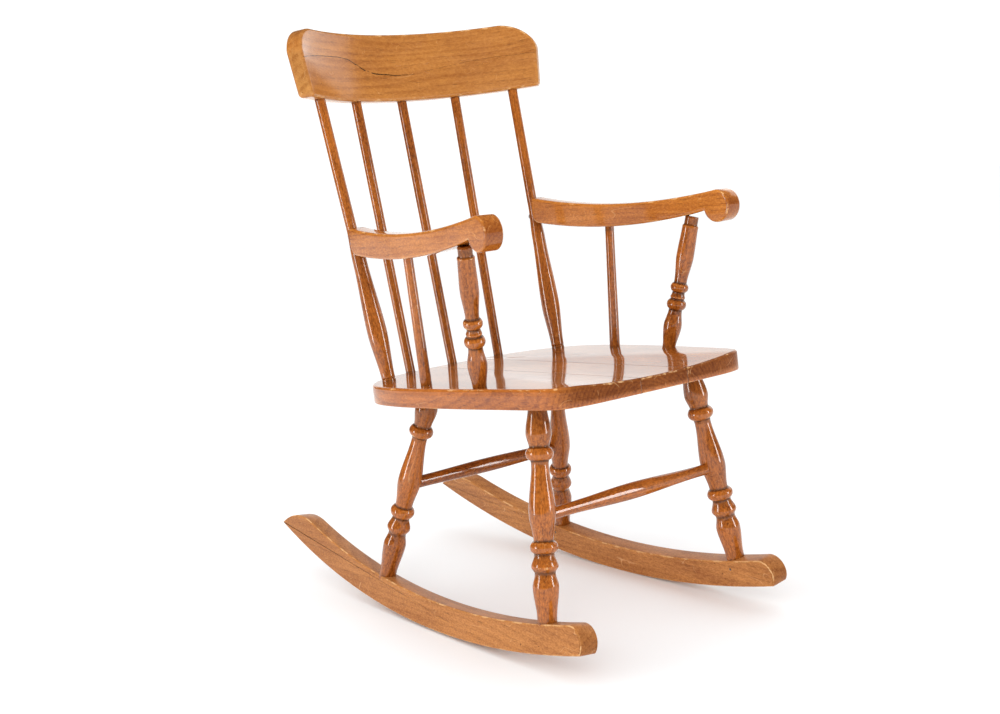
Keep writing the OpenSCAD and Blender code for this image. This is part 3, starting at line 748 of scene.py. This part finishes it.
def seat_outline():
    """The closed curve through the outline's points, to the sitter's left first."""
    p = [vec(*q) for q in SEAT_HALF] + [vec(-x, y) for x, y in SEAT_HALF[-2:0:-1]]
    c, made = len(p), []
    for i in range(c):
        p0, p1, p2, p3 = p[i - 1], p[i], p[(i + 1) % c], p[(i + 2) % c]
        n = max(2, math.ceil(np.linalg.norm(p2 - p1) / OUTLINE_STEP))
        for t in np.arange(n) / n:
            made.append(0.5 * (2 * p1 + (p2 - p0) * t + (2 * p0 - 5 * p1 + 4 * p2 - p3) * t * t
                               + (3 * p1 - p0 - 3 * p2 + p3) * t**3))
    return np.array(made)


def seat_top(x, y):
    """Height of the seat's surface over its blank's top, softly run out at the dish's edge."""
    rise = (y - DISH_BACK) * DISH_DEPTH / (SEAT_FRONT + DISH_BACK)
    floor = rise + DISH_RADIUS - np.sqrt(DISH_RADIUS**2 - x**2)
    soft = 0.35
    return -soft * np.log1p(np.exp(np.clip(-floor / soft, -50, 50)))


def cut_outline(outline, from_x, to_x):
    """The seat's outline between two joints, with points along each joint, and which sides are joints."""
    clear, next_to_joint, joint_step = 1.6, 1.2, 9
    points = []
    n = len(outline)
    for i in range(n):
        a, b = outline[i], outline[(i + 1) % n]
        if from_x < a[0] < to_x and min(abs(a[0] - from_x), abs(a[0] - to_x)) > clear:
            points.append(a)
        for limit in (from_x, to_x):
            if (a[0] - limit) * (b[0] - limit) < 0:
                met = a + (b - a) * (limit - a[0]) / (b[0] - a[0])
                beside = (b - a) / np.linalg.norm(b - a) * next_to_joint
                points += [met - beside, met] if from_x < a[0] < to_x else [met, met + beside]
    points = np.array(points)
    made, sides = [], []
    n = len(points)
    for i in range(n):
        a, b = points[i], points[(i + 1) % n]
        on_joint = abs(a[0] - b[0]) < 1e-6 and min(abs(a[0] - from_x), abs(a[0] - to_x)) < 1e-6
        steps = math.ceil(abs(a[1] - b[1]) / joint_step) if on_joint else 1
        for k in range(steps):
            made.append(a + (b - a) * k / steps)
            sides.append(on_joint)
    return np.array(made), np.array(sides)


SEAT_TOP_ROUNDING, SEAT_LOW_ROUNDING, SEAM_ROUNDING, GLUE_LINE = 3.0, 1.6, 0.35, 0.6
ROUNDING_STEPS, WALL_STEPS, TOP_STEPS = 5, 3, 18
# An x past the seat's sides, and the widest x that counts when a board's middle is found
PAST_SEAT, SEAT_SIDE = 400, 150


def seat_rings(outline, joint):
    """The rings of a seat board from its underside, up its wall and over to the glue line's inner edge.

    Each is its points in x and y, their heights, its wear, and whether glue darkens its joints.
    """
    n = len(outline)
    rings = []

    def on_top(ring, drop=0.0):
        return seat_top(ring[:, 0], ring[:, 1]) - drop

    low = np.where(joint, SEAM_ROUNDING, SEAT_LOW_ROUNDING)
    rings.append((inset(outline, low + GLUE_LINE), np.full(n, -SEAT_THICKNESS), 0, 0))
    for k in range(ROUNDING_STEPS, -1, -1):
        a = math.pi / 2 * k / ROUNDING_STEPS
        heights = np.full(n, -SEAT_THICKNESS) + low * (1 - math.sin(a))
        rings.append((inset(outline, low * (1 - math.cos(a))), heights, math.sin(2 * a), 1))
    wall = rings[-1][1]
    high = np.where(joint, SEAM_ROUNDING, SEAT_TOP_ROUNDING)
    for k in range(1, WALL_STEPS + 1):
        rings.append((outline, wall + (on_top(outline, high) - wall) * k / WALL_STEPS, 0.15, 1))
    for k in range(1, ROUNDING_STEPS + 1):
        a = math.pi / 2 * k / ROUNDING_STEPS
        ring = inset(outline, high * (1 - math.cos(a)))
        rings.append((ring, on_top(ring, high * (1 - math.sin(a))), math.sin(2 * a), 1))
    edge = inset(outline, high + GLUE_LINE)
    rings.append((edge, on_top(edge), 0.3, 0))
    return rings


def seat_board(node, from_x, to_x, seed):
    outline, joint = cut_outline(seat_outline(), from_x, to_x)
    n = len(outline)
    rings = seat_rings(outline, joint)
    edge = rings[-1][0]
    middle_x = (max(from_x, -SEAT_SIDE) + min(to_x, SEAT_SIDE)) / 2
    centre = vec(middle_x, (edge[:, 1].min() + edge[:, 1].max()) / 2)
    for k in range(1, TOP_STEPS):
        ring = centre + (edge - centre) * (1 - k / TOP_STEPS)
        rings.append((ring, seat_top(ring[:, 0], ring[:, 1]), 0, 0))
    flat = [np.column_stack([ring, heights]) for ring, heights, worn, glue in rings]
    points = np.vstack(flat + [[centre[0], centre[1], seat_top(centre[0], centre[1])]])
    at_seam = joint | np.roll(joint, 1)
    wear = np.concatenate([np.where(at_seam, 0, worn) * np.ones(n) for ring, heights, worn, glue in rings])
    grime = np.concatenate([np.where(at_seam, glue, 0.0) for ring, heights, worn, glue in rings])
    faces = ring_faces(len(rings), n)
    last = (len(rings) - 1) * n
    faces += [(last + i, last + (i + 1) % n, len(points) - 1) for i in range(n)]
    faces.append(tuple(range(n))[::-1])
    # End grain shows on the wall and on the rounding over it, but not on the rounding's last ring
    wall = ROUNDING_STEPS + 2
    shows_end = [wall <= k < wall + WALL_STEPS + ROUNDING_STEPS - 1 for k in range(len(rings))]
    end = end_grain(points[:-1], 1, n, sides_are_flat=False) * np.repeat(shows_end, n)
    placed = rotated(points, "X", -SEAT_SLOPE) + vec(0, 0, SEAT_HEIGHT)
    make(node + "_board", placed, faces, points[:, [0, 2, 1]], np.append(wear, 0), np.append(grime, 0),
         "seat_wood", [node], 1, seed, np.append(end, 0), pith=(25, 70))


def seat():
    seat_board("seat_board_left", JOINT_LEFT, PAST_SEAT, 81)
    seat_board("seat_board_middle", JOINT_RIGHT, JOINT_LEFT, 82)
    seat_board("seat_board_right", -PAST_SEAT, JOINT_RIGHT, 83)


# ---- Crest rail ----
# Its rounding, how far its ends stay back from the design's, and its sections between the rounded ends
CREST_ROUNDING, CREST_SHORTER, CREST_SECTIONS = 4.5, 0.3, 131


def crest_top(angle):
    """Height of the rail's upper edge over its lower one, at an angle from the middle."""
    corner = CREST_HALF_ANGLE + CREST_FLARE / 2 - math.degrees(math.asin(CREST_CORNER / CREST_BEND))
    x = CREST_BEND * sin(max(abs(angle) - corner, 0))
    centre = CREST_DEPTH - CREST_CORNER + CREST_CORNER_LIFT
    return min(CREST_DEPTH, centre + math.sqrt(max(CREST_CORNER**2 - x * x, 0)))


def crest_section(angle, shrink, radius):
    """A closed loop (t, h, wear) round the rail at an angle, drawn in by shrink."""
    high = crest_top(angle)
    step, steepest = 0.4, 2.5
    drop = abs(crest_top(abs(angle) + step) - crest_top(abs(angle) - step))
    slope = drop / (2 * step * math.radians(1) * CREST_BEND)
    stretch = math.hypot(1, min(slope, steepest))
    half = CREST_THICKNESS / 2
    loop = []
    tall = radius * stretch
    for side, base, rise, start in ((-1, radius, radius, 180), (1, radius, radius, 270),
                                    (1, high - tall, tall, 0), (-1, high - tall, tall, 90)):
        for k in range(6):
            a = start + 90 * k / 5
            loop.append((side * (half - radius) + radius * cos(a), base + rise * sin(a),
                         math.sin(math.pi * k / 5)))
    loop = np.array(loop)
    filled = []
    for i in range(len(loop)):
        a, b = loop[i], loop[(i + 1) % len(loop)]
        on_face, on_edge = abs(b[1] - a[1]) > 12 and abs(a[0] - b[0]) < 0.5, abs(a[0] - b[0]) > 8
        n = 6 if on_face else (3 if on_edge else 1)
        for k in range(n):
            q = a + (b - a) * k / n
            if 0 < k:
                q[2] = 0.0
            filled.append(q)
    filled = np.array(filled)
    middle = high / 2
    filled[:, 0] *= (half - shrink) / half
    filled[:, 1] = middle + (filled[:, 1] - middle) * (middle - shrink) / middle
    return filled


def crest():
    radius = CREST_ROUNDING
    arc_length = CREST_BEND * math.radians(CREST_HALF_ANGLE) - CREST_SHORTER
    body = (arc_length - radius) * np.sin(np.linspace(-math.pi / 2, math.pi / 2, CREST_SECTIONS))
    body = body * 0.5 + np.linspace(-(arc_length - radius), arc_length - radius, CREST_SECTIONS) * 0.5
    sections = [(s, 0.0) for s in body]
    for k in range(1, ROUNDING_STEPS + 1):
        a = math.pi / 2 * k / ROUNDING_STEPS
        sections.append((arc_length - radius + radius * math.sin(a), radius * (1 - math.cos(a))))
        sections.insert(0, (-sections[-1][0], sections[-1][1]))
    sections = [(-arc_length, radius + 0.8)] + sections + [(arc_length, radius + 0.8)]
    rings, grains, wears = [], [], []
    for s, shrink in sections:
        angle = math.degrees(s / CREST_BEND)
        loop = crest_section(angle, shrink, radius)
        t, h, worn = loop.T
        spread = 1 + h * tan(CREST_FLARE) / arc_length
        turn = np.radians(angle * spread)
        r = CREST_BEND + h * tan(CREST_CONE) + t
        rings.append(np.column_stack([r * np.sin(turn), r * np.cos(turn), h]))
        grains.append(np.column_stack([h, t, s * spread]))
        wears.append(np.maximum(worn, 0.4 if 0 < shrink < radius else 0))
    n = len(rings[0])
    faces = ring_faces(len(rings), n)
    faces += [tuple(range(n))[::-1], tuple(range((len(rings) - 1) * n, len(rings) * n))]
    upright = np.vstack(rings) - vec(0, CREST_BEND, 0)
    points = rotated(upright, "X", -CREST_LEAN) + vec(0, CREST_Y, CREST_HEIGHT)
    end = np.repeat([min(shrink / radius, 1.0) for s, shrink in sections], n)
    wears[0], wears[-1] = wears[0] * 0.2, wears[-1] * 0.2
    make("crest_rail_bent", points, faces, np.vstack(grains), np.concatenate(wears), np.zeros(len(points)),
         "crest_wood", ["crest_rail"], 1, 90, end, pith=(60, 50))


# ---- Fixings and dowels keep their CAD shapes, with heads where they come out of the wood ----
# Height of the arms' screws, how far the post's surface lies from its middle there, how deep the runners'
# pins lie in the legs' tenons, and the length of the posts' tenons in the crest rail
SCREW_HEIGHT, SCREW_DEPTH, PIN_DEPTH, CREST_TENON = 463.0, 8.6, 10.0, 16.0
SCREW_HEAD, PIN_HEAD, HEAD_RISE = 7.0, 3.2, 0.5


def fixings():
    for node in ("arm_screws", "crest_pins", "runner_pins", "seat_dowels"):
        mesh = frame["nodes"][node].data
        mesh.materials.clear()
        mesh.materials.append(DOWEL if node == "seat_dowels" else STEEL)
    heads()


def head(name, place, outwards, diameter, side):
    """A domed head that stands a little proud of the wood over a screw or pin."""
    outwards = outwards / np.linalg.norm(outwards)
    dome = ((-1.2, 1), (0, 1), (0.2, 0.94), (0.4, 0.72), (HEAD_RISE, 0.3))
    stations = [(z, diameter * share) for z, share in dome]
    turned(name, stations, place, place + outwards * HEAD_RISE, side, 0, [], slot="fixing_steel")


def heads():
    along_arm = (ARM_POST_TOP - ARM_SPINDLE_TOP) * vec(1, 1, 0)
    axis = (POST_TOP - POST_FOOT) / np.linalg.norm(POST_TOP - POST_FOOT)
    at_arm = POST_FOOT + (POST_TOP - POST_FOOT) * (SCREW_HEIGHT - POST_FOOT[2]) / (POST_TOP[2] - POST_FOOT[2])
    behind = -along_arm / np.linalg.norm(along_arm)
    in_crest = POST_TOP + axis * CREST_TENON / 2
    round_bend = math.degrees(math.asin(POST_TOP[0] / CREST_BEND))
    crest_back = rotated(rotated(vec(0, 1, 0), "X", CREST_LEAN), "Z", -round_bend)
    for side, word in ((1, "left"), (-1, "right")):
        head("arm_screw_head_" + word, at_arm + behind * (SCREW_DEPTH - 0.2), behind, SCREW_HEAD, side)
        at_crest = in_crest + crest_back * (CREST_THICKNESS / 2 - 0.1)
        head("crest_pin_head_" + word, at_crest, crest_back, PIN_HEAD, side)
        for which, top, foot in (("front", FRONT_LEG_TOP, FRONT_LEG_FOOT),
                                 ("back", BACK_LEG_TOP, BACK_LEG_FOOT)):
            deep = foot + (foot - top) / np.linalg.norm(foot - top) * PIN_DEPTH
            upright_z = cos(RUNNER_LEAN) * deep[2] - sin(RUNNER_LEAN) * (deep[0] - RUNNER_OUTER)
            inner = lean_runner(vec(-RUNNER_WIDTH, deep[1], upright_z))
            inwards = vec(-cos(RUNNER_LEAN), 0, -sin(RUNNER_LEAN))
            head(f"runner_pin_head_{which}_{word}", inner, inwards, PIN_HEAD, side)


# ---- Studio ----
# The room's light, its light as reflections show it, and the height that the softboxes face, in metres
ROOM, GLOSSY_ROOM, LIT_HEIGHT = 1.15, 0.06, 0.35


def studio():
    size = 30.0
    mesh = bpy.data.meshes.new("floor")
    corners = [(-size, -size, 0), (size, -size, 0), (size, size, 0), (-size, size, 0)]
    mesh.from_pydata(corners, [], [(0, 1, 2, 3)])
    mesh.materials.append(floor_material())
    floor = bpy.data.objects.new("floor", mesh)
    bpy.context.scene.collection.objects.link(floor)
    world = bpy.data.worlds.new("studio")
    world.use_nodes = True
    world.node_tree.nodes["Background"].inputs["Color"].default_value = (1, 1, 1, 1)
    sky = world.node_tree
    ray = sky.nodes.new("ShaderNodeLightPath")
    strength = sky.nodes.new("ShaderNodeMath")
    strength.operation = "MULTIPLY_ADD"
    sky.links.new(ray.outputs["Is Glossy Ray"], strength.inputs[0])
    # The room behind the lamps is dim in reflections, so the varnish shows the softboxes and keeps its colour
    strength.inputs[1].default_value = GLOSSY_ROOM - ROOM
    strength.inputs[2].default_value = ROOM
    sky.links.new(strength.outputs[0], sky.nodes["Background"].inputs["Strength"])
    bpy.context.scene.world = world
    bpy.context.scene.view_settings.view_transform = "Standard"


def panel(name, azimuth, distance, height, width, tall, radiance, gloss_only):
    """A softbox that faces the chair. Azimuth 0 is in front of it, and 90 on the sitter's left."""
    lamp = bpy.data.lights.new(name, "AREA")
    lamp.shape = "RECTANGLE"
    lamp.size, lamp.size_y = width, tall
    lamp.energy = radiance * math.pi * width * tall
    made = bpy.data.objects.new(name, lamp)
    bpy.context.scene.collection.objects.link(made)
    place = Vector((distance * sin(azimuth), -distance * cos(azimuth), height))
    made.location = place
    made.rotation_mode = "QUATERNION"
    made.rotation_quaternion = (place - Vector((0, 0, LIT_HEIGHT))).to_track_quat("Z", "Y")
    made.visible_camera = False
    made.visible_diffuse = not gloss_only
    made.visible_glossy = gloss_only
    return made


def shines_on(lamp, words):
    """Limits a lamp to the pieces whose names hold one of the words, so it can't burn out the flat ones."""
    pieces = bpy.data.collections.new(lamp.name + "_pieces")
    for piece in bpy.context.scene.objects:
        if piece.type == "MESH" and any(word in piece.name for word in words):
            pieces.objects.link(piece)
    lamp.light_linking.receiver_collection = pieces


def lights():
    shines_on(panel("strip_left", 31, 2.2, 0.6, 0.42, 1.15, 13, True), ["_turned"])
    shines_on(panel("strip_right", -101, 2.2, 0.6, 0.42, 1.15, 13, True), ["_turned", "arm_"])
    panel("backdrop", 146, 3.0, 0.9, 3.4, 1.8, 1.08, True)
    panel("sheen", 98, 2.5, 1.35, 2.3, 1.7, 1.6, True)
    panel("key", -25, 2.2, 1.2, 1.6, 1.2, 2.6, False)
    panel("fill", -110, 2.4, 1.0, 1.6, 1.2, 2.6, False)


def camera():
    """The viewpoint is off the sitter's right front, a little above the arms, and rolled by six degrees."""
    place = vec(-882.7, -1264.1, 501.0)
    forward = vec(0.5617, 0.8173, -0.1281)
    forward /= np.linalg.norm(forward)
    azimuth, roll = -34.502, -6.0
    level = vec(cos(azimuth), sin(azimuth), 0)
    above = np.cross(level, forward)
    right = level * cos(roll) + above * sin(roll)
    up = -level * sin(roll) + above * cos(roll)
    tilt = [rotated(v, "X", REST_TILT) for v in (right, up, -forward)]
    lens = bpy.data.cameras.new("camera")
    lens.sensor_width, lens.lens = 36.0, 45.81
    lens.shift_x, lens.shift_y = 0.0013, -0.0007
    made = bpy.data.objects.new("camera", lens)
    bpy.context.scene.collection.objects.link(made)
    matrix = Matrix(np.column_stack(tilt).tolist()).to_4x4()
    matrix.translation = Vector(at_rest(place))
    made.matrix_world = matrix
    bpy.context.scene.camera = made


camera()
legs()
stretchers()
back()
arm_supports()
runners()
arms()
seat()
crest()
fixings()
studio()
lights()
